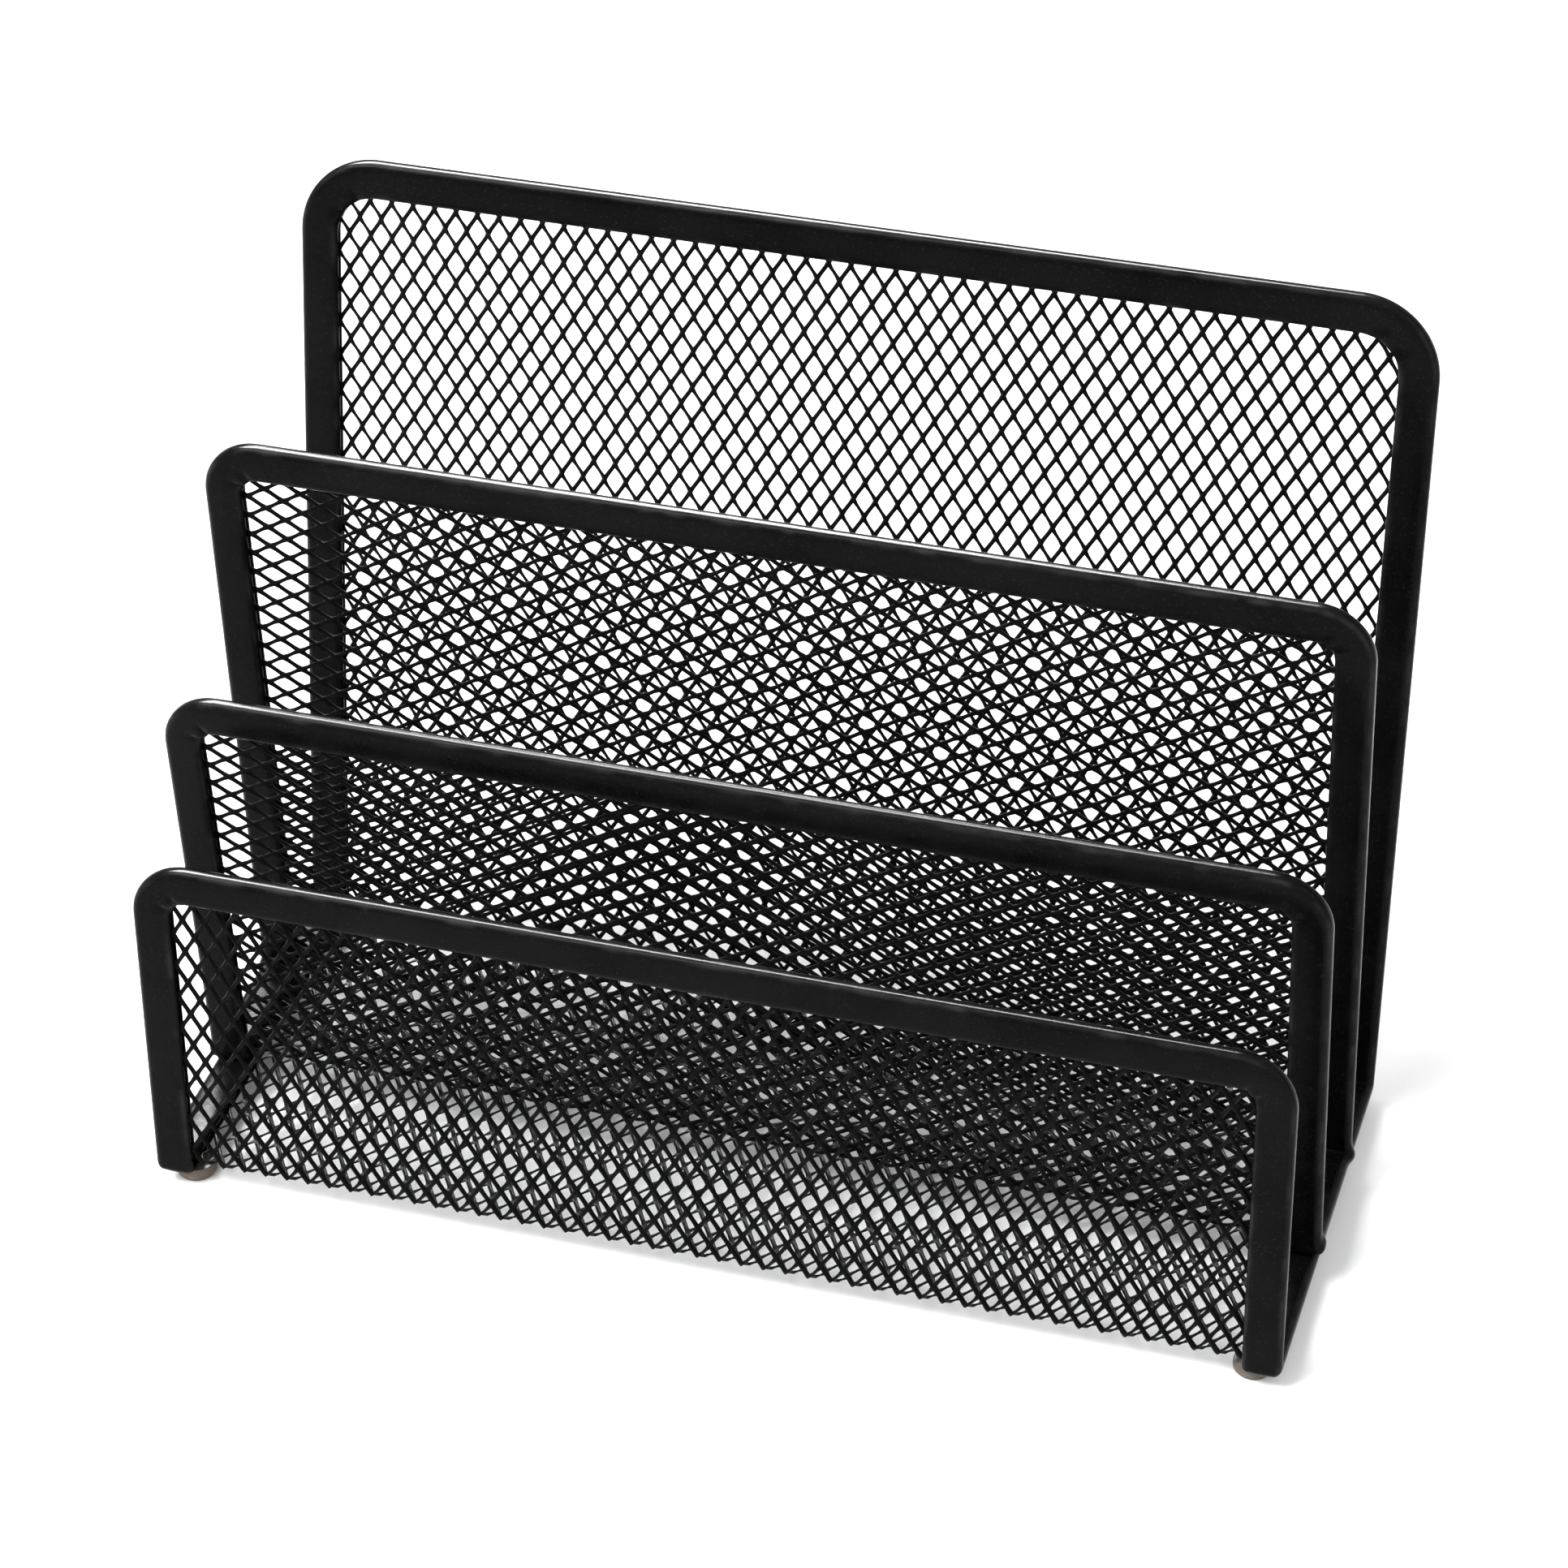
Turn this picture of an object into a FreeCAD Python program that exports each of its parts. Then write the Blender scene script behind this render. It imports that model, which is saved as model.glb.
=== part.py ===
import FreeCAD, Part
import math
import os

# Three-slot desk letter sorter. Two bent sheets of expanded steel mesh, one nested in the
# other, each gripped all round its edge by a formed steel channel rim, on four rubber pads.
# Frame: +X to the right, +Y to the back, +Z up. The origin is on the desk, under the middle.

# Driving dimensions, in mm and degrees. A panel is placed by its front face: the depth at
# which that face meets the underside of its base, and its lean, positive towards the back.
FRONT_PANEL = {"face_y": 0.0, "lean": 2.5, "height": 58.0, "corner": 9.0}
FRONT_DIVIDER = {"face_y": 25.0, "lean": -4.0, "height": 74.0, "corner": 9.0}
REAR_DIVIDER = {"face_y": 47.0, "lean": -2.0, "height": 104.5, "corner": 9.0}
BACK_PANEL = {"face_y": 67.0, "lean": 9.5, "height": 133.5, "corner": 12.5}
OUTER_WIDTH = 178.0
INNER_WIDTH = 179.0

RIM_WIDTH = 6.0           # how far the channel reaches in from the sheet's edge
RIM_DEPTH = 2.8           # across the channel, through the sheet
RIM_WALL = 0.5
RIM_EDGE_RADIUS = 0.9     # the channel's rounded outer edges
BEND_RADIUS = 0.5         # on the inside face of the rim where a frame is folded
SHEET_THICKNESS = 0.4
SHEET_SETBACK = 1.5       # the sheet's edge lies this far inside the rim's outer edge

PAD_RADIUS = 3.1
PAD_HEIGHT = 2.2
PAD_EDGE_RADIUS = 0.7
PAD_INSET_X = 4.9         # from the side of the outer frame to the pad's axis
PAD_INSET_Y = 4.6         # from the front and rear ends of the base to the pad's axis

OUTER_BASE_Z = PAD_HEIGHT
INNER_BASE_Z = OUTER_BASE_Z + RIM_DEPTH

ORIGIN = FreeCAD.Vector(0, 0, 0)
X = FreeCAD.Vector(1, 0, 0)
Y = FreeCAD.Vector(0, 1, 0)
Z = FreeCAD.Vector(0, 0, 1)


def panel_frame(panel, base_z):
    """Up direction, backward normal, and the mid-plane point level with the face's foot."""
    lean = math.radians(panel["lean"])
    up = FreeCAD.Vector(0, math.sin(lean), math.cos(lean))
    back = FreeCAD.Vector(0, math.cos(lean), -math.sin(lean))
    foot = FreeCAD.Vector(0, panel["face_y"], base_z) + back * (RIM_DEPTH / 2)
    return up, back, foot


def fold_corner(up, foot, base_z):
    """The point where a panel's mid-plane meets the base's mid-plane."""
    mid_z = base_z + RIM_DEPTH / 2
    return foot + up * ((mid_z - foot.z) / up.z)


def bend_arc(corner, heading_in, heading_out, inward):
    """Start, end, centre and angle of the round bend between two straight headings."""
    radius = BEND_RADIUS + RIM_DEPTH / 2
    angle = heading_in.getAngle(heading_out)
    tangent = radius * math.tan(angle / 2)
    start = corner - heading_in * tangent
    end = corner + heading_out * tangent
    centre = start + inward * radius
    return start, end, centre, math.degrees(angle)


def rim_section(edge_point, inward, through):
    """Closed channel section with a slot for the sheet, its outer edge at edge_point."""
    r = RIM_EDGE_RADIUS
    k = r * (1 - math.sqrt(0.5))
    wall = RIM_WALL
    slot_low = (RIM_DEPTH - SHEET_THICKNESS) / 2
    slot_high = (RIM_DEPTH + SHEET_THICKNESS) / 2
    inner_low, inner_high = wall, RIM_DEPTH - wall
    lip = RIM_WIDTH - wall
    origin = edge_point - through * (RIM_DEPTH / 2)

    def at(u, v):
        return origin + inward * u + through * v

    lips = [at(*p) for p in (
        (r, RIM_DEPTH), (RIM_WIDTH, RIM_DEPTH), (RIM_WIDTH, slot_high), (lip, slot_high),
        (lip, inner_high), (wall, inner_high), (wall, inner_low), (lip, inner_low),
        (lip, slot_low), (RIM_WIDTH, slot_low), (RIM_WIDTH, 0), (r, 0))]
    edges = [Part.makeLine(a, b) for a, b in zip(lips, lips[1:])]
    edges.append(Part.Arc(at(r, 0), at(k, k), at(0, r)).toShape())
    edges.append(Part.makeLine(at(0, r), at(0, RIM_DEPTH - r)))
    edges.append(Part.Arc(at(0, RIM_DEPTH - r), at(k, RIM_DEPTH - k), at(r, RIM_DEPTH)).toShape())
    return Part.Face(Part.Wire(edges))


def frame_path(front, back, base_z):
    """The folded line that a frame's side follows: both panels' axes and both bends."""
    up_1, normal_1, foot_1 = panel_frame(front, base_z)
    up_2, normal_2, foot_2 = panel_frame(back, base_z)
    bend_1 = bend_arc(fold_corner(up_1, foot_1, base_z), up_1 * -1, Y, normal_1)
    bend_2 = bend_arc(fold_corner(up_2, foot_2, base_z), Y, up_2, Z)
    return (up_1, normal_1, foot_1, bend_1), (up_2, normal_2, foot_2, bend_2)


def joined(pieces):
    """One clean solid from pieces that meet face to face."""
    return pieces[0].multiFuse(pieces[1:]).removeSplitter().Solids[0]


def make_rim(front, back, base_z, width):
    """Channel rim: one closed loop up both panels' sides, over their tops, along the base."""
    side = X * (width / 2)
    (up_1, normal_1, foot_1, bend_1), (up_2, normal_2, foot_2, bend_2) = frame_path(
        front, back, base_z)
    start_1, end_1, centre_1, angle_1 = bend_1
    start_2, end_2, centre_2, angle_2 = bend_2
    half = [
        rim_section(start_1 + side, X * -1, normal_1).revolve(centre_1, X, angle_1),
        rim_section(end_1 + side, X * -1, Z).extrude(start_2 - end_1),
        rim_section(start_2 + side, X * -1, Z).revolve(centre_2, X, angle_2),
    ]
    tops = []
    for panel, up, normal, foot, leg_start in (
            (front, up_1, normal_1, foot_1, start_1), (back, up_2, normal_2, foot_2, end_2)):
        radius = panel["corner"]
        leg_end = foot + up * (panel["height"] - radius)
        leg = rim_section(leg_start + side, X * -1, normal).extrude(leg_end - leg_start)
        corner_face = rim_section(leg_end + side, X * -1, normal)
        corner = corner_face.revolve(leg_end + side - X * radius, X.cross(up), 90)
        top_edge = leg_end + up * radius + side - X * radius
        top = rim_section(top_edge, up * -1, normal).extrude(X * (2 * radius - width))
        half += [leg, corner]
        tops.append(top)
    return joined(half + [piece.mirror(ORIGIN, X) for piece in half] + tops)


def sheet_panel(panel, up, normal, foot, bottom, width):
    """Flat sheet of one panel, from its bend up to its top edge with two round corners."""
    half_width = width / 2 - SHEET_SETBACK
    low = (bottom - foot).dot(up)
    high = panel["height"] - SHEET_SETBACK
    radius = panel["corner"] - SHEET_SETBACK
    k = radius * (1 - math.sqrt(0.5))

    def at(x, z):
        return foot + X * x + up * z - normal * (SHEET_THICKNESS / 2)

    outline = [
        Part.makeLine(at(-half_width, low), at(half_width, low)),
        Part.makeLine(at(half_width, low), at(half_width, high - radius)),
        Part.Arc(at(half_width, high - radius), at(half_width - k, high - k),
                 at(half_width - radius, high)).toShape(),
        Part.makeLine(at(half_width - radius, high), at(radius - half_width, high)),
        Part.Arc(at(radius - half_width, high), at(k - half_width, high - k),
                 at(-half_width, high - radius)).toShape(),
        Part.makeLine(at(-half_width, high - radius), at(-half_width, low)),
    ]
    return Part.Face(Part.Wire(outline)).extrude(normal * SHEET_THICKNESS)


def sheet_strip_end(point, through, width):
    """The sheet's cut across its width, as a thin rectangle."""
    half_width = width / 2 - SHEET_SETBACK
    across = X * half_width
    half_thickness = through * (SHEET_THICKNESS / 2)
    corners = [point - across - half_thickness, point + across - half_thickness,
               point + across + half_thickness, point - across + half_thickness]
    return Part.Face(Part.makePolygon(corners + corners[:1]))


def make_sheet(front, back, base_z, width):
    """Mesh sheet as a plain plate: front panel, base and back panel in one, bent twice."""
    (up_1, normal_1, foot_1, bend_1), (up_2, normal_2, foot_2, bend_2) = frame_path(
        front, back, base_z)
    start_1, end_1, centre_1, angle_1 = bend_1
    start_2, end_2, centre_2, angle_2 = bend_2
    return joined([
        sheet_panel(front, up_1, normal_1, foot_1, start_1, width),
        sheet_strip_end(start_1, normal_1, width).revolve(centre_1, X, angle_1),
        sheet_strip_end(end_1, Z, width).extrude(start_2 - end_1),
        sheet_strip_end(start_2, Z, width).revolve(centre_2, X, angle_2),
        sheet_panel(back, up_2, normal_2, foot_2, end_2, width),
    ])


def make_pad(x, y):
    """Round rubber pad under a corner of the outer base, with an eased lower edge."""
    pad = Part.makeCylinder(PAD_RADIUS, PAD_HEIGHT, FreeCAD.Vector(x, y, 0))
    lower_edges = [edge for edge in pad.Edges if edge.BoundBox.ZMax < PAD_HEIGHT / 2]
    return pad.makeFillet(PAD_EDGE_RADIUS, lower_edges).Solids[0]


def make_parts():
    """Every node's solid, by name."""
    outer = (FRONT_PANEL, BACK_PANEL, OUTER_BASE_Z, OUTER_WIDTH)
    inner = (FRONT_DIVIDER, REAR_DIVIDER, INNER_BASE_Z, INNER_WIDTH)
    parts = {
        "outer_rim": make_rim(*outer),
        "outer_mesh_sheet": make_sheet(*outer),
        "inner_rim": make_rim(*inner),
        "inner_mesh_sheet": make_sheet(*inner),
    }
    pad_x = OUTER_WIDTH / 2 - PAD_INSET_X
    front_y = FRONT_PANEL["face_y"] + PAD_INSET_Y
    rear_y = BACK_PANEL["face_y"] + RIM_DEPTH - PAD_INSET_Y
    for side, x in (("left", -pad_x), ("right", pad_x)):
        for end, y in (("front", front_y), ("rear", rear_y)):
            parts[f"foot_pad_{end}_{side}"] = make_pad(x, y)
    return parts


parts = make_parts()
whole = Part.makeCompound(list(parts.values())).optimalBoundingBox()
centring = Y * (-(whole.YMin + whole.YMax) / 2)
os.makedirs("parts", exist_ok=True)
for name, shape in parts.items():
    shape.translate(centring)
    shape.exportStep(f"parts/{name}.step")
    print(name, shape.ShapeType, shape.isValid(), round(shape.Volume, 1), "mm3")
print("overall", round(whole.XLength, 2), round(whole.YLength, 2), round(whole.ZLength, 2), "mm")
print("moved back by", round(centring.y, 3), "mm")
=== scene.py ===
import math

import bmesh
import bpy
import numpy as np
from mathutils import Matrix, Vector


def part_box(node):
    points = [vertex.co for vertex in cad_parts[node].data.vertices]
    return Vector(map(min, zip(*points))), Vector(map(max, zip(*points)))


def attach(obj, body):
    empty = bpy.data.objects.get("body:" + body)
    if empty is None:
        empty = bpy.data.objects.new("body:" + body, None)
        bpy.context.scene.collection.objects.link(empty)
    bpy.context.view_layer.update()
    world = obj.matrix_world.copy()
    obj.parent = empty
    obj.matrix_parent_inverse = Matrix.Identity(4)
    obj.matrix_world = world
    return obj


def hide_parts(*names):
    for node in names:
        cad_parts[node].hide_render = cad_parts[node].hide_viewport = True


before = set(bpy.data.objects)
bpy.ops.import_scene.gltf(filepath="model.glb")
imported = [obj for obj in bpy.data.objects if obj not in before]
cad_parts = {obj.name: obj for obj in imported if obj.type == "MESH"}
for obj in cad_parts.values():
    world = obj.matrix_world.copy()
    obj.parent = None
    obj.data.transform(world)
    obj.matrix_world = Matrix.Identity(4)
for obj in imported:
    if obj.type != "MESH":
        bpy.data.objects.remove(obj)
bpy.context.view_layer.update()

# Looks of a three-slot letter sorter of expanded metal. Each sheet and its channel rim are laid
# out flat, x across and s along the sheet with n out of its outer side, and then folded into
# their U shape. Design values are in millimetres and degrees; only placed points are in metres.

MM = 0.001

# A panel's foot is where its front face meets the underside of its base.
FRONT_PANEL = {"foot_y": -45.9, "lean": 2.5, "height": 58.0, "corner": 9.0}
FRONT_DIVIDER = {"foot_y": -20.9, "lean": -4.0, "height": 74.0, "corner": 9.0}
REAR_DIVIDER = {"foot_y": 1.1, "lean": -2.0, "height": 104.5, "corner": 9.0}
BACK_PANEL = {"foot_y": 21.1, "lean": 9.5, "height": 133.5, "corner": 12.5}

# The metal's diamonds lie along the outer sheet and across the inner one. Tilt is how far a
# strand's two edges stand off its sheet, bulge how far the channel swells sideways at a fold.
OUTER_SHEET = {"long_across": False, "tilt": 0.26, "bulge": 0.0}
INNER_SHEET = {"long_across": True, "tilt": -0.14, "bulge": 0.6}

CHANNEL_WIDTH = 6.0
CHANNEL_DEPTH = 2.8
CHANNEL_WALL = 0.5
CHANNEL_SLOT = 0.8          # opening between the lips that grip the sheet
CHANNEL_EDGE_RADIUS = 1.15  # along the channel's outer edge
CHANNEL_LIP_RADIUS = 0.75   # along its inner edge
FACE_CROWN = 0.12           # how far the channel's faces fall towards their edges
EDGE_WEAR_PLACE = 0.86      # where its rounded edges are, as a share of its half width
EDGE_WEAR_SPREAD = 0.1

CHANNEL_FOLD_RADIUS = 0.85  # at the channel's middle; tighter inside the fold, wider outside
SHEET_FOLD_RADIUS = 1.5
FOLD_RADIUS_GAIN = 0.3      # change of either radius per millimetre outwards
FOLD_ZONE = 3.2             # half the length that a fold takes up along the strip
FOLD_MARGIN = 1.0           # extra length on either side with closely spaced sections
FOLD_BULGE_LENGTH = 1.5     # along the strip, where a folded channel swells sideways

CRIMP_ANGLES = (0.3, 0.66)  # creases round a corner, as parts of its quarter turn
CRIMP_SPREAD = 0.085
CRIMP_DEPTH = 0.36          # share of the half depth lost at the lip
CRIMP_REACH = 3.2           # how far a crease runs out from the lip

LONG_PITCH = 5.85           # diamonds of the expanded metal
SHORT_PITCH = 3.51
SHEET_INSET = 0.7           # from the channel's outer edge to the sheet's edge
KNUCKLE_LENGTH = 1.5
KNUCKLE_WIDTH = 0.77
OPENING_POWER = 1.3         # 1 is a straight-sided diamond, more is rounder at its sides
RIBBON_THICKNESS = 0.26
TILT_SHARPNESS = 3.0        # how soon across a diamond its strands reach their full tilt
SHEET_WAVE = 0.12           # slow unevenness of the sheet between its rims
WAVE_ACROSS = (19.0, 0.7)   # millimetres per radian of that wave, and its phase in radians
WAVE_ALONG = (23.0, 0.4)
MERGE_DIGITS = 3            # decimals to which neighbouring diamonds' points coincide

STRAIGHT_STEP = 2.0         # spacing of the channel's sections
FOLD_SECTIONS = 43          # over a fold and its margins
CORNER_STEPS = 41           # round one corner
CRIMP_FALLOFF = 1.5         # power by which a crease fades outwards from the lip
SHARP_ANGLE = 38.0          # faces that meet at more than this show an edge


class FoldedStrip:
    """A strip folded up at both ends. s runs down the front panel, over the base and up the rear."""

    def __init__(self, node, front, rear, sheet):
        low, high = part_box(node)
        self.sheet = sheet
        self.width = (high.x - low.x) / MM
        base_z = low.z / MM
        self.front, self.rear = front, rear
        half = CHANNEL_DEPTH / 2
        spots, lengths = [], []
        for panel in (front, rear):
            lean = math.radians(panel["lean"])
            spots.append(panel["foot_y"] + half * (math.tan(lean) + 1 / math.cos(lean)))
            lengths.append(panel["height"] - half * (1 + math.sin(lean)) / math.cos(lean))
        self.base_length = spots[1] - spots[0]
        self.start, self.end = -lengths[0], self.base_length + lengths[1]
        lean_in, lean_out = math.radians(front["lean"]), math.radians(rear["lean"])
        down = np.array([-math.sin(lean_in), -math.cos(lean_in)])
        back = np.array([1.0, 0.0])
        up = np.array([math.sin(lean_out), math.cos(lean_out)])
        self.folds = (
            (0.0, np.array([spots[0], base_z + half]), down, back),
            (self.base_length, np.array([spots[1], base_z + half]), back, up),
        )

    def place(self, x, s, n, fold_radius):
        """Points of the flat strip in the folded shape, in metres."""
        near_front = s < self.base_length / 2
        radius = fold_radius + FOLD_RADIUS_GAIN * n
        side = [fold_point(s - fold[0], n, radius, *fold[1:]) for fold in self.folds]
        section = np.where(near_front[:, None], side[0], side[1])
        return np.column_stack([x, section]) * MM

    def outline_corner(self, s):
        """Radius of the flat outline's corners at that end of the strip."""
        return np.where(s < self.base_length / 2, self.front["corner"], self.rear["corner"])


def fold_point(along, n, radius, corner, heading, heading_out):
    """(y, z) of a point carried round one fold, which is an arc on every offset from the sheet."""
    left = np.array([-heading[1], heading[0]])
    turn = math.acos(float(np.clip(heading @ heading_out, -1, 1)))
    half_tan = math.tan(turn / 2)
    reach = FOLD_ZONE + n * half_tan
    straight = reach - radius * half_tan
    arc = radius * turn
    total = 2 * straight + arc
    part = np.clip((along + FOLD_ZONE) / (2 * FOLD_ZONE), 0, 1)
    walked = part * total + np.minimum(along + FOLD_ZONE, 0) + np.maximum(along - FOLD_ZONE, 0)
    angle = np.clip(walked - straight, 0, arc) / radius
    ahead = np.minimum(walked, straight) - reach + n * half_tan + radius * np.sin(angle)
    inward = radius * (1 - np.cos(angle)) - n
    beyond = np.maximum(walked - straight - arc, 0)
    return corner + np.outer(ahead, heading) + np.outer(inward, left) + np.outer(beyond, heading_out)


def make_piece(name, points, faces, wear, material, replaced):
    """A mesh piece of the object, riding on its one body. wear is 1 on edges that rub, 0 on faces."""
    mesh = bpy.data.meshes.new(name)
    mesh.from_pydata([tuple(p) for p in points], [], [tuple(f) for f in faces])
    mesh.attributes.new("wear", "FLOAT", "POINT").data.foreach_set("value", wear)
    mesh.update()
    mesh.materials.append(material)
    for polygon in mesh.polygons:
        polygon.use_smooth = True
    mesh.set_sharp_from_angle(angle=math.radians(SHARP_ANGLE))
    piece = bpy.data.objects.new(name, mesh)
    bpy.context.scene.collection.objects.link(piece)
    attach(piece, "root")
    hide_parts(replaced)
    return piece


# ---------------------------------------------------------------- expanded metal


def opening_outline(half_long, half_short):
    """Matching points round one opening and round the diamond of metal it is cut from."""
    opening_long = half_long - KNUCKLE_LENGTH / 2
    opening_short = half_short - KNUCKLE_WIDTH / 2
    quarter = [1.0, 2 / 3, 1 / 3]
    opening, diamond = [], []
    for quadrant, (sign_long, sign_short) in enumerate(((1, 1), (-1, 1), (-1, -1), (1, -1))):
        shares = quarter if quadrant % 2 == 0 else [0.0, 1 / 3, 2 / 3]
        for share in shares:
            height = 1 - share ** OPENING_POWER
            opening.append((sign_long * share * opening_long, sign_short * height * opening_short))
            diamond.append((sign_long * share * half_long, sign_short * (1 - share) * half_short))
    return np.array(opening), np.array(diamond)


def lattice_cells(strip, pitch_x, pitch_s):
    """Centres of the diamonds, and their half sizes once whole ones fit between the edges."""
    first_x, first_s = -strip.width / 2 + SHEET_INSET, strip.start + SHEET_INSET
    count_x = round((strip.width - 2 * SHEET_INSET) / (pitch_x / 2))
    count_s = round((strip.end - strip.start - 2 * SHEET_INSET) / (pitch_s / 2))
    half_x = (strip.width - 2 * SHEET_INSET) / count_x
    half_s = (strip.end - strip.start - 2 * SHEET_INSET) / count_s
    centres = [
        (first_x + i * half_x, first_s + j * half_s)
        for j in range(1, count_s)
        for i in range(1, count_x)
        if (i + j) % 2 == 0
    ]
    return np.array(centres), half_x, half_s


def held_in_outline(strip, x, s):
    """Points outside the sheet's rounded outline are drawn back onto it, inside the channel."""
    radius = strip.outline_corner(s) - SHEET_INSET
    limit_x = strip.width / 2 - SHEET_INSET - radius
    core_x = np.clip(x, -limit_x, limit_x)
    core_s = np.clip(s, strip.start + SHEET_INSET + radius, strip.end - SHEET_INSET - radius)
    away = np.hypot(x - core_x, s - core_s)
    shrink = np.minimum(1, radius / np.maximum(away, 1e-9))
    return core_x + (x - core_x) * shrink, core_s + (s - core_s) * shrink, away <= radius


def make_sheet(name, strip, between, material, replaced):
    """One stretch of a sheet: a ring of metal round each opening, merged along the diamonds.

    The strands are ribbons tilted about the diamonds' long way, as left by the stretching.
    """
    long_across = strip.sheet["long_across"]
    pitch_x, pitch_s = (LONG_PITCH, SHORT_PITCH) if long_across else (SHORT_PITCH, LONG_PITCH)
    centres, half_x, half_s = lattice_cells(strip, pitch_x, pitch_s)
    inside = held_in_outline(strip, centres[:, 0], centres[:, 1])[2]
    wanted = inside & (centres[:, 1] >= between[0]) & (centres[:, 1] < between[1])
    centres = centres[wanted]
    halves = (half_x, half_s) if long_across else (half_s, half_x)
    opening, diamond = opening_outline(*halves)
    tilt = strip.sheet["tilt"] * np.tanh(TILT_SHARPNESS * opening[:, 1] / halves[1])
    order = [0, 1] if long_across else [1, 0]
    ring = np.vstack([opening[:, order], diamond[:, order]])
    relief = np.concatenate([tilt, np.zeros(len(diamond))])
    flat = (centres[:, None, :] + ring[None, :, :]).reshape(-1, 2)
    n = np.tile(relief, len(centres))
    keys = np.round(np.column_stack([flat, n]), MERGE_DIGITS) + 0.0  # turns -0 into 0
    _, first, merged = np.unique(keys, axis=0, return_index=True, return_inverse=True)
    merged = merged.reshape(-1)
    x, s, _ = held_in_outline(strip, flat[first, 0], flat[first, 1])
    across = np.sin(x / WAVE_ACROSS[0] + WAVE_ACROSS[1])
    along = np.sin(s / WAVE_ALONG[0] + WAVE_ALONG[1])
    wave = SHEET_WAVE * across * along
    points = strip.place(x, s, n[first] + wave, SHEET_FOLD_RADIUS)
    around = len(opening)
    corners = np.array(
        [(k, (k + 1) % around, (k + 1) % around + around, k + around) for k in range(around)]
    )
    starts = np.arange(len(centres)) * 2 * around
    faces = merged[(starts[:, None, None] + corners[None]).reshape(-1, 4)]
    wear = np.repeat([1.0, 0.0], around)[first % (2 * around)]
    piece = make_piece(name, points, faces, wear, material, replaced)
    clean = bmesh.new()
    clean.from_mesh(piece.data)
    bmesh.ops.dissolve_degenerate(clean, edges=clean.edges, dist=1e-6)
    bmesh.ops.recalc_face_normals(clean, faces=clean.faces)
    clean.to_mesh(piece.data)
    clean.free()
    solid = piece.modifiers.new("thickness", "SOLIDIFY")
    solid.thickness = RIBBON_THICKNESS * MM
    solid.offset = 0.0
    return piece


# ---------------------------------------------------------------- channel rims


def arc_points(centre, radius, start, end, count):
    """Points of an arc, angles in degrees."""
    angles = np.radians(np.linspace(start, end, count))
    return [(centre[0] + radius * math.cos(a), centre[1] + radius * math.sin(a)) for a in angles]


def channel_section():
    """Closed outline of the C channel as (u, n): u inwards from its outer edge, n through it."""
    half, slot = CHANNEL_DEPTH / 2, CHANNEL_SLOT / 2
    lip, edge, wall = CHANNEL_LIP_RADIUS, CHANNEL_EDGE_RADIUS, CHANNEL_WALL
    width = CHANNEL_WIDTH
    upper = [(width - wall, slot), (width, slot)]
    upper += arc_points((width - lip, half - lip), lip, 0, 90, 6)
    face = np.linspace(width - lip, edge, 8)[1:-1]
    upper += [(u, half) for u in face]
    upper += arc_points((edge, half - edge), edge, 90, 180, 8)
    lining = arc_points((edge, half - edge), edge - wall, 180, 90, 4)
    lining += [(width - lip, half - wall), (width - wall, half - lip)]
    lower_lining = [(u, -n) for u, n in reversed(lining)]
    lower = [(u, -n) for u, n in reversed(upper)]
    return np.array(upper + lower + lower_lining + lining)


def rim_stations(strip):
    """Places round the flat outline: point, inward direction, and share of a corner's turn."""
    half = strip.width / 2
    stations = []

    def run(x, inward):
        front, rear = strip.front["corner"], strip.rear["corner"]
        marks = set(np.arange(strip.start + front, strip.end - rear, STRAIGHT_STEP))
        marks.add(strip.end - rear)
        for fold in strip.folds:
            reach = FOLD_ZONE + FOLD_MARGIN
            marks.update(np.linspace(fold[0] - reach, fold[0] + reach, FOLD_SECTIONS))
        ordered = sorted({round(float(mark), 2) for mark in marks})
        return [((x, s), (inward, 0.0), -1.0) for s in (ordered if x > 0 else ordered[::-1])]

    def corner(x, s, radius, start):
        points = []
        for share in np.linspace(0, 1, CORNER_STEPS + 1)[1:-1]:
            angle = math.radians(start + 90 * share)
            out = (math.cos(angle), math.sin(angle))
            points.append(((x + radius * out[0], s + radius * out[1]), (-out[0], -out[1]), share))
        return points

    def top(s, radius, inward, forward):
        reach = half - radius
        span = np.linspace(-reach, reach, round(2 * reach / STRAIGHT_STEP) + 1)
        return [((x, s), (0.0, inward), -1.0) for x in (span if forward else span[::-1])]

    front, rear = strip.front["corner"], strip.rear["corner"]
    stations += run(half, -1.0)
    stations += corner(half - rear, strip.end - rear, rear, 0)
    stations += top(strip.end, rear, -1.0, False)
    stations += corner(-half + rear, strip.end - rear, rear, 90)
    stations += run(-half, 1.0)
    stations += corner(-half + front, strip.start + front, front, 180)
    stations += top(strip.start, front, 1.0, True)
    stations += corner(half - front, strip.start + front, front, 270)
    return stations


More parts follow.
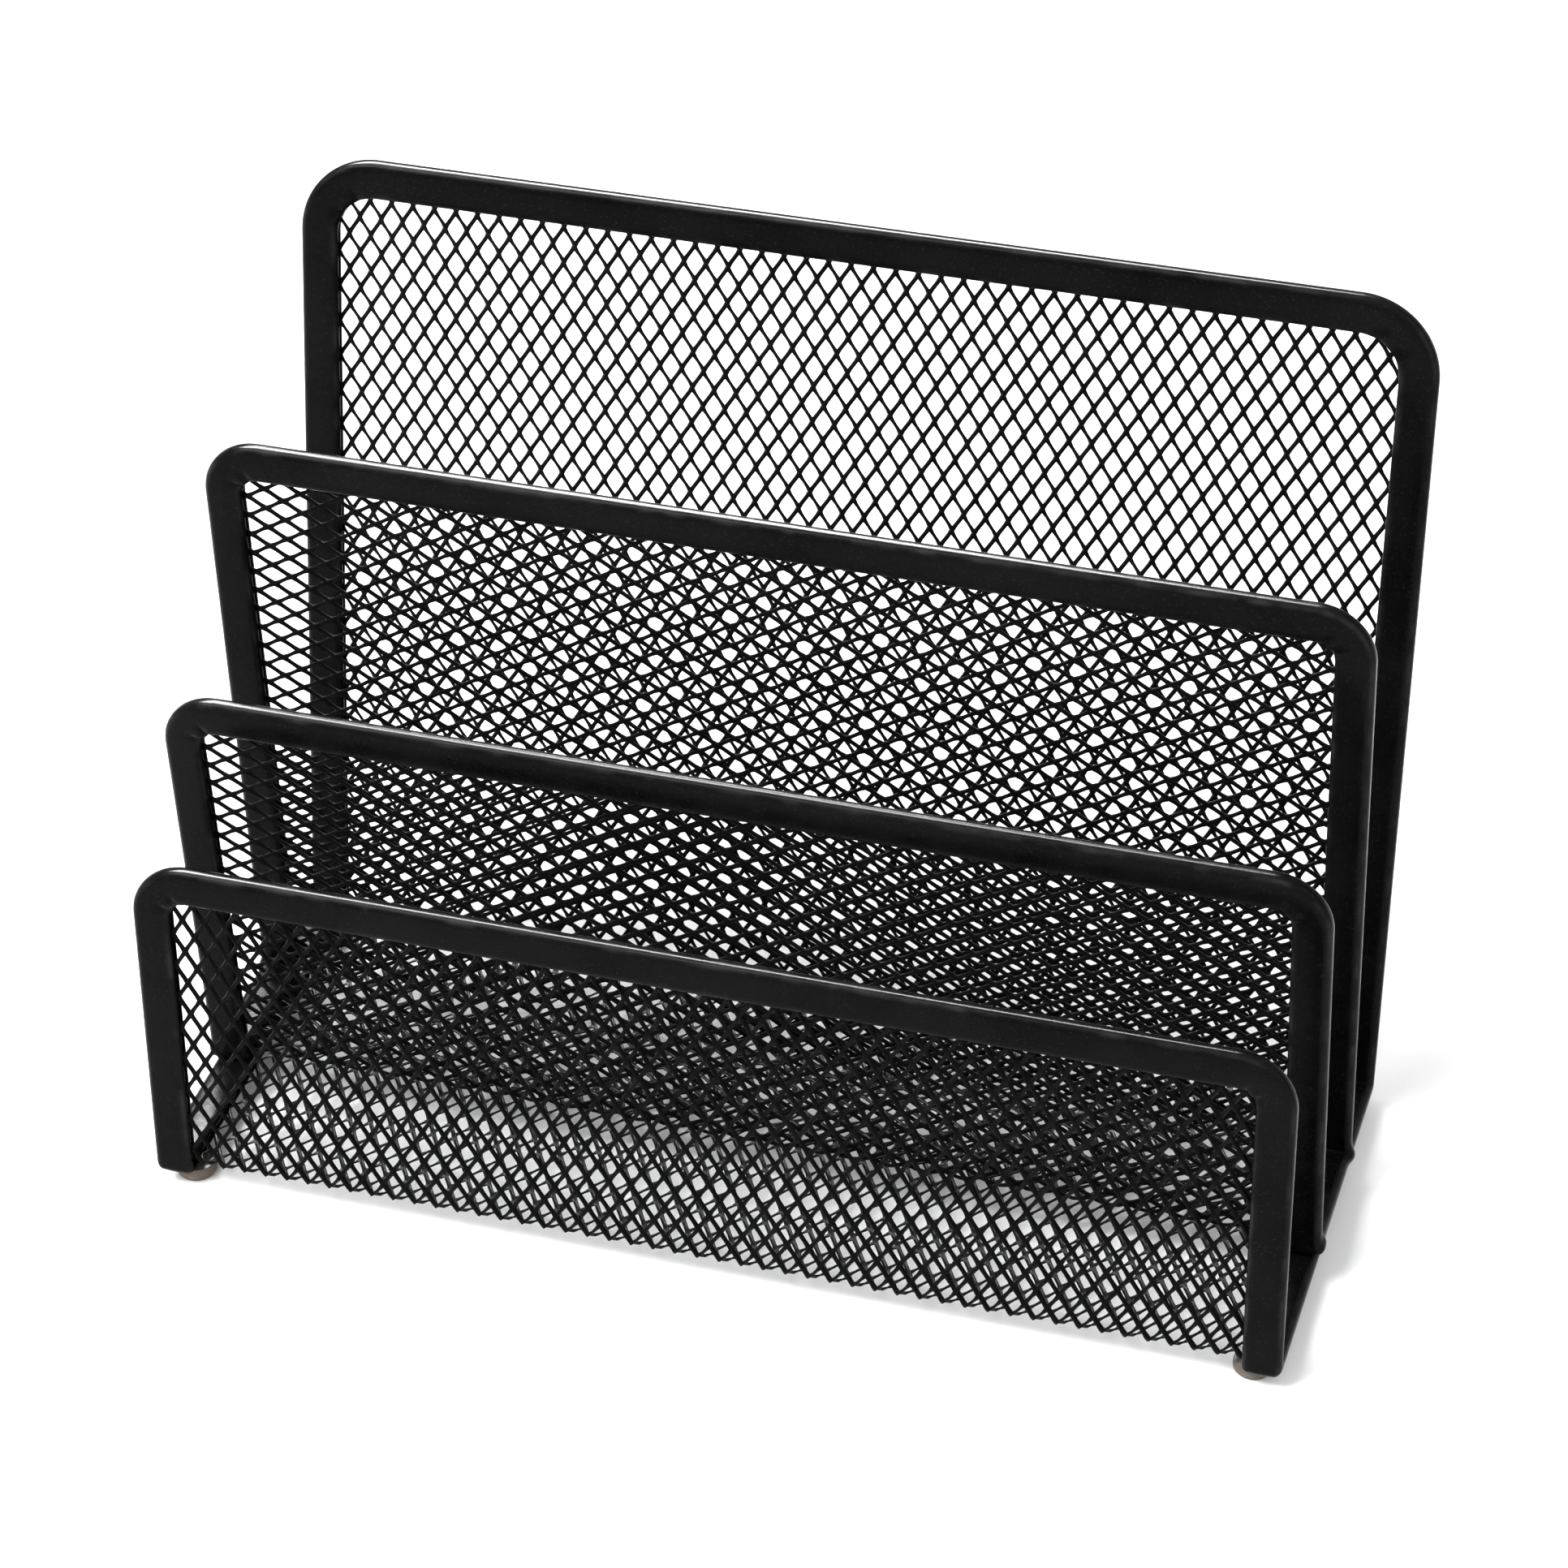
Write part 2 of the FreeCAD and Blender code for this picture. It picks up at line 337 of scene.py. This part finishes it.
def make_rim(name, strip, material, replaced):
    """The channel swept round the sheet's outline, creased at its corners and swollen at folds."""
    section = channel_section()
    stations = rim_stations(strip)
    spots = np.array([s[0] for s in stations])
    inward = np.array([s[1] for s in stations])
    share = np.array([s[2] for s in stations])
    crease = sum(np.exp(-((share - a) / CRIMP_SPREAD) ** 2) for a in CRIMP_ANGLES)
    crease = np.where(share < 0, 0.0, crease)
    swell = sum(
        np.exp(-((spots[:, 1] - fold[0]) / FOLD_BULGE_LENGTH) ** 2) for fold in strip.folds
    )
    u, n = section[:, 0], section[:, 1]
    nearness = np.clip(1 - (CHANNEL_WIDTH - u) / CRIMP_REACH, 0, 1) ** CRIMP_FALLOFF
    middle = (u - CHANNEL_WIDTH / 2) / (CHANNEL_WIDTH / 2)
    crowned = n * (1 - FACE_CROWN / (CHANNEL_DEPTH / 2) * middle ** 2)
    depth = crowned[None, :] * (1 - CRIMP_DEPTH * crease[:, None] * nearness[None, :])
    outer_side = np.clip(1 - u / CHANNEL_WIDTH, 0, 1)
    across = u[None, :] - strip.sheet["bulge"] * swell[:, None] * outer_side[None, :]
    flat = spots[:, None, :] + inward[:, None, :] * across[:, :, None]
    points = strip.place(
        flat[:, :, 0].ravel(), flat[:, :, 1].ravel(), depth.ravel(), CHANNEL_FOLD_RADIUS
    )
    rows, columns = len(stations), len(section)
    faces = []
    for i in range(rows):
        ahead = (i + 1) % rows
        for j in range(columns):
            right = (j + 1) % columns
            faces.append(
                (i * columns + j, ahead * columns + j, ahead * columns + right, i * columns + right)
            )
    edge_zone = np.abs(np.abs(middle) - EDGE_WEAR_PLACE) / EDGE_WEAR_SPREAD
    rounded = np.exp(-edge_zone ** 2) * (np.abs(n) > CHANNEL_DEPTH / 4)
    return make_piece(
        name, points, faces, np.tile(rounded, rows), material, replaced
    )


# ---------------------------------------------------------------- rubber pads

PAD_SEGMENTS = 56
PAD_HOLLOW = 0.14           # depth of the dished underside, as a share of the height
PAD_LAND = 0.62             # radius of the dish, as a share of the pad's
PAD_FOOT_RADIUS = 0.985     # where the side turns under, as a share of the radius
PAD_FOOT_HEIGHT = 0.2       # and of the height
PAD_FOOT_TURN = 0.1         # how far inwards the turn goes
PAD_FOOT_ANGLES = (0.5, 1.0, 1.57)  # places round that turn, in radians
# The profile above that turn: shares of the radius and of the height.
PAD_TOP_AND_SIDE = ((0.0, 1.0), (0.88, 1.0), (0.93, 0.97), (0.94, 0.9), (0.98, 0.7), (1.0, 0.42))
PAD_SCUFFED = (0.15, 0.5)   # heights between which the side is rubbed


def make_pad(node, material):
    """A bumper pad turned from a profile: flat on top, bowed side, dished underside."""
    low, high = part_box(node)
    centre = (low + high) / 2
    radius, height = (high.x - low.x) / 2, high.z - low.z
    profile = list(PAD_TOP_AND_SIDE) + [(PAD_FOOT_RADIUS, PAD_FOOT_HEIGHT)]
    for angle in PAD_FOOT_ANGLES:
        turned = math.sin(angle)
        inwards = PAD_FOOT_RADIUS - PAD_FOOT_TURN * turned
        profile.append((inwards, PAD_FOOT_HEIGHT * (1 - turned)))
    profile += [(PAD_LAND + 0.1, 0.0), (PAD_LAND, PAD_HOLLOW * 0.3), (PAD_LAND * 0.6, PAD_HOLLOW)]
    profile += [(0.0, PAD_HOLLOW)]
    points = [(centre.x, centre.y, low.z + height)]
    for step in range(PAD_SEGMENTS):
        angle = 2 * math.pi * step / PAD_SEGMENTS
        for share, level in profile[1:-1]:
            reach = radius * share
            points.append(
                (
                    centre.x + reach * math.cos(angle),
                    centre.y + reach * math.sin(angle),
                    low.z + height * level,
                )
            )
    points.append((centre.x, centre.y, low.z + height * PAD_HOLLOW))
    ring, last = len(profile) - 2, len(points) - 1
    faces = []
    for step in range(PAD_SEGMENTS):
        here, there = 1 + step * ring, 1 + (step + 1) % PAD_SEGMENTS * ring
        faces.append((0, here, there))
        faces += [(here + k, here + k + 1, there + k + 1, there + k) for k in range(ring - 1)]
        faces.append((here + ring - 1, last, there + ring - 1))
    lower, upper = PAD_SCUFFED
    wear = [float(lower < (p[2] - low.z) / height < upper) for p in points]
    return make_piece(node + "_bumper", points, faces, wear, material, node)


# ---------------------------------------------------------------- materials

COAT_SPECULAR = 0.03
RIM_COAT = {
    "dark": (0.001, 0.001, 0.0011, 1),
    "light": (0.0027, 0.0027, 0.0029, 1),
    "worn": (0.016, 0.016, 0.0168, 1),
    "rough": (0.18, 0.28),
    "grain_scale": 900.0,
}
MESH_COAT = {
    "dark": (0.0005, 0.0005, 0.0006, 1),
    "light": (0.0016, 0.0016, 0.0017, 1),
    "worn": (0.006, 0.006, 0.0064, 1),
    "rough": (0.34, 0.48),
    "grain_scale": 1400.0,
}
RUBBER_DARK = (0.05, 0.038, 0.027, 1)
RUBBER_LIGHT = (0.085, 0.065, 0.047, 1)
RUBBER_SCUFFED = (0.14, 0.11, 0.085, 1)
RUBBER_GLOW = 0.15          # share of light that passes under its surface
RUBBER_GLOW_DEPTH = 0.001   # in metres
FLOOR_DARK = (0.86, 0.86, 0.86, 1)
FLOOR_LIGHT = (0.88, 0.88, 0.88, 1)


class Nodes:
    """Adds shader nodes to a material and joins them."""

    def __init__(self, name):
        self.material = bpy.data.materials.new(name)
        self.material.use_nodes = True
        self.tree = self.material.node_tree
        self.shader = self.tree.nodes["Principled BSDF"]
        self.coordinates = self.add("ShaderNodeTexCoord").outputs["Object"]

    def add(self, kind, **inputs):
        node = self.tree.nodes.new(kind)
        for key, value in inputs.items():
            node.inputs[key.replace("_", " ")].default_value = value
        return node

    def link(self, output, target):
        self.tree.links.new(output, target)

    def noise(self, scale, detail=2.0):
        node = self.add("ShaderNodeTexNoise", Scale=scale, Detail=detail)
        self.link(self.coordinates, node.inputs["Vector"])
        return node.outputs["Fac"]

    def worn_edges(self, patch_scale, most):
        """The mesh's wear mask broken into patches by noise."""
        mask = self.tree.nodes.new("ShaderNodeAttribute")
        mask.attribute_name = "wear"
        patches = self.mapped(self.noise(patch_scale, 4.0), 0.46, 0.66, 0.12, most)
        product = self.tree.nodes.new("ShaderNodeMath")
        product.operation = "MULTIPLY"
        self.link(mask.outputs["Fac"], product.inputs[0])
        self.link(patches, product.inputs[1])
        return product.outputs["Value"]

    def mapped(self, output, low, high, to_low, to_high):
        """The value stretched from low..high to to_low..to_high."""
        node = self.tree.nodes.new("ShaderNodeMapRange")
        limits = {"From Min": low, "From Max": high, "To Min": to_low, "To Max": to_high}
        for key, value in limits.items():
            node.inputs[key].default_value = value
        self.link(output, node.inputs["Value"])
        return node.outputs["Result"]

    def blend(self, factor, first, second):
        node = self.tree.nodes.new("ShaderNodeMix")
        node.data_type = "RGBA"
        for socket, colour in ((node.inputs[6], first), (node.inputs[7], second)):
            if isinstance(colour, tuple):
                socket.default_value = colour
            else:
                self.link(colour, socket)
        self.link(factor, node.inputs[0])
        return node.outputs[2]

    def bump(self, height, strength, distance, below=None):
        node = self.add("ShaderNodeBump", Strength=strength, Distance=distance)
        self.link(height, node.inputs["Height"])
        if below is not None:
            self.link(below, node.inputs["Normal"])
        return node.outputs["Normal"]


def powder_coat(name, dark, light, worn, rough, grain_scale):
    """Black powder coat: orange-peel grain, cloudy colour, and thin coating worn at the edges."""
    nodes = Nodes(name)
    clouds = nodes.mapped(nodes.noise(60.0, 4.0), 0.35, 0.68, 0.0, 1.0)
    specks = nodes.mapped(nodes.noise(2600.0, 1.0), 0.62, 0.74, 0.0, 0.3)
    coat = nodes.blend(specks, nodes.blend(clouds, dark, light), worn)
    colour = nodes.blend(nodes.worn_edges(190.0, 0.8), coat, worn)
    nodes.link(colour, nodes.shader.inputs["Base Color"])
    roughness = nodes.mapped(nodes.noise(240.0, 3.0), 0.3, 0.7, *rough)
    nodes.link(roughness, nodes.shader.inputs["Roughness"])
    peel = nodes.bump(nodes.noise(grain_scale, 2.0), 0.22, 0.00008)
    grain = nodes.bump(nodes.noise(grain_scale * 3.5, 1.0), 0.2, 0.00003, peel)
    nodes.link(grain, nodes.shader.inputs["Normal"])
    nodes.shader.inputs["Specular IOR Level"].default_value = COAT_SPECULAR
    return nodes.material


def rubber(name):
    """Smoky soft rubber, matt and slightly translucent at its thin rim."""
    nodes = Nodes(name)
    clouds = nodes.mapped(nodes.noise(420.0, 3.0), 0.3, 0.7, 0.0, 1.0)
    body = nodes.blend(clouds, RUBBER_DARK, RUBBER_LIGHT)
    scuffed = nodes.blend(nodes.worn_edges(700.0, 0.7), body, RUBBER_SCUFFED)
    nodes.link(scuffed, nodes.shader.inputs["Base Color"])
    roughness = nodes.mapped(nodes.noise(900.0, 2.0), 0.3, 0.7, 0.55, 0.75)
    nodes.link(roughness, nodes.shader.inputs["Roughness"])
    nodes.link(nodes.bump(nodes.noise(1500.0, 3.0), 0.3, 0.0001), nodes.shader.inputs["Normal"])
    nodes.shader.inputs["Subsurface Weight"].default_value = RUBBER_GLOW
    nodes.shader.inputs["Subsurface Scale"].default_value = RUBBER_GLOW_DEPTH
    return nodes.material


def studio_floor_material():
    """Plain pale sweep with a faint unevenness."""
    nodes = Nodes("studio_floor")
    tone = nodes.mapped(nodes.noise(3.0), 0.3, 0.7, 0.0, 1.0)
    shade = nodes.blend(tone, FLOOR_DARK, FLOOR_LIGHT)
    nodes.link(shade, nodes.shader.inputs["Base Color"])
    nodes.shader.inputs["Roughness"].default_value = 0.9
    nodes.shader.inputs["Specular IOR Level"].default_value = 0.0
    return nodes.material


# ---------------------------------------------------------------- studio

FLOOR_SIZE = 6.0            # metres
WORLD_STRENGTH = 1.0
# Each light: azimuth, elevation, distance and size in metres, power in watts.
KEY_LIGHT = (-62.0, 56.0, 1.5, (1.0, 0.8), 58.0)
REAR_PANEL = (220.0, 51.0, 1.3, (0.9, 0.5), 430.0)
RIGHT_FILL = (75.0, 35.0, 1.5, (0.7, 0.9), 4.0)
CAMERA_TARGET = (2.24, -5.9, 66.2)
CAMERA_AZIMUTH = 17.62
CAMERA_ELEVATION = 36.31
CAMERA_ROLL = 1.42
CAMERA_DISTANCE = 756.9
CAMERA_LENS = 116.2
CAMERA_CLIP = (0.05, 20.0)  # metres


def direction(azimuth, elevation):
    """Unit vector from the object towards that side. Azimuth 0 is the front, 90 the right."""
    turn, rise = math.radians(azimuth), math.radians(elevation)
    level = math.cos(rise)
    return Vector((math.sin(turn) * level, -math.cos(turn) * level, math.sin(rise)))


def make_floor(material):
    mesh = bpy.data.meshes.new("studio_floor")
    half = FLOOR_SIZE / 2
    corners = [(-half, -half, 0), (half, -half, 0), (half, half, 0), (-half, half, 0)]
    mesh.from_pydata(corners, [], [(0, 1, 2, 3)])
    mesh.materials.append(material)
    floor = bpy.data.objects.new("studio_floor", mesh)
    bpy.context.scene.collection.objects.link(floor)


def make_light(name, azimuth, elevation, distance, size, power, gloss_only=False):
    """A soft box that faces the middle of the object, or a panel seen only in its gloss."""
    lamp = bpy.data.lights.new(name, "AREA")
    lamp.shape = "RECTANGLE"
    lamp.size, lamp.size_y = size
    lamp.energy = power
    light = bpy.data.objects.new(name, lamp)
    away = direction(azimuth, elevation)
    light.location = away * distance + Vector(CAMERA_TARGET) * MM
    light.rotation_euler = away.to_track_quat("Z", "Y").to_euler()
    light.visible_camera = False
    light.visible_diffuse = not gloss_only
    bpy.context.scene.collection.objects.link(light)


def make_world():
    world = bpy.data.worlds.new("studio")
    world.use_nodes = True
    background = world.node_tree.nodes["Background"]
    background.inputs["Color"].default_value = (1, 1, 1, 1)
    background.inputs["Strength"].default_value = WORLD_STRENGTH
    bpy.context.scene.world = world


def make_camera():
    """The viewing angle is a slightly rolled look down from the front right."""
    data = bpy.data.cameras.new("camera")
    data.lens = CAMERA_LENS
    data.clip_start, data.clip_end = CAMERA_CLIP
    camera = bpy.data.objects.new("camera", data)
    back = direction(CAMERA_AZIMUTH, CAMERA_ELEVATION)
    right = Vector((0, 0, 1)).cross(back).normalized()
    up = back.cross(right)
    roll = math.radians(CAMERA_ROLL)
    rolled_right = right * math.cos(roll) - up * math.sin(roll)
    rolled_up = right * math.sin(roll) + up * math.cos(roll)
    turn = Matrix((rolled_right, rolled_up, back)).transposed().to_4x4()
    place = (Vector(CAMERA_TARGET) + back * CAMERA_DISTANCE) * MM
    camera.matrix_world = Matrix.Translation(place) @ turn
    bpy.context.scene.collection.objects.link(camera)
    bpy.context.scene.camera = camera


def make_model():
    rim_coat = powder_coat("rim_powder_coat", **RIM_COAT)
    mesh_coat = powder_coat("mesh_powder_coat", **MESH_COAT)
    pad_rubber = rubber("pad_rubber")
    outer = FoldedStrip("outer_rim", FRONT_PANEL, BACK_PANEL, OUTER_SHEET)
    inner = FoldedStrip("inner_rim", FRONT_DIVIDER, REAR_DIVIDER, INNER_SHEET)
    stretches = (
        ("outer_mesh_front_and_base", outer, (outer.start, outer.base_length), "outer_mesh_sheet"),
        ("outer_mesh_back", outer, (outer.base_length, outer.end), "outer_mesh_sheet"),
        ("inner_mesh_front_and_base", inner, (inner.start, inner.base_length), "inner_mesh_sheet"),
        ("inner_mesh_rear", inner, (inner.base_length, inner.end), "inner_mesh_sheet"),
    )
    for name, strip, between, node in stretches:
        make_sheet(name, strip, between, mesh_coat, node)
    make_rim("outer_channel", outer, rim_coat, "outer_rim")
    make_rim("inner_channel", inner, rim_coat, "inner_rim")
    for node in sorted(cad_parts):
        if node.startswith("foot_pad"):
            make_pad(node, pad_rubber)


make_model()
make_floor(studio_floor_material())
make_world()
make_light("key", *KEY_LIGHT)
make_light("rear_panel", *REAR_PANEL, gloss_only=True)
make_light("right_fill", *RIGHT_FILL)
make_camera()
bpy.context.scene.view_settings.view_transform = "Standard"
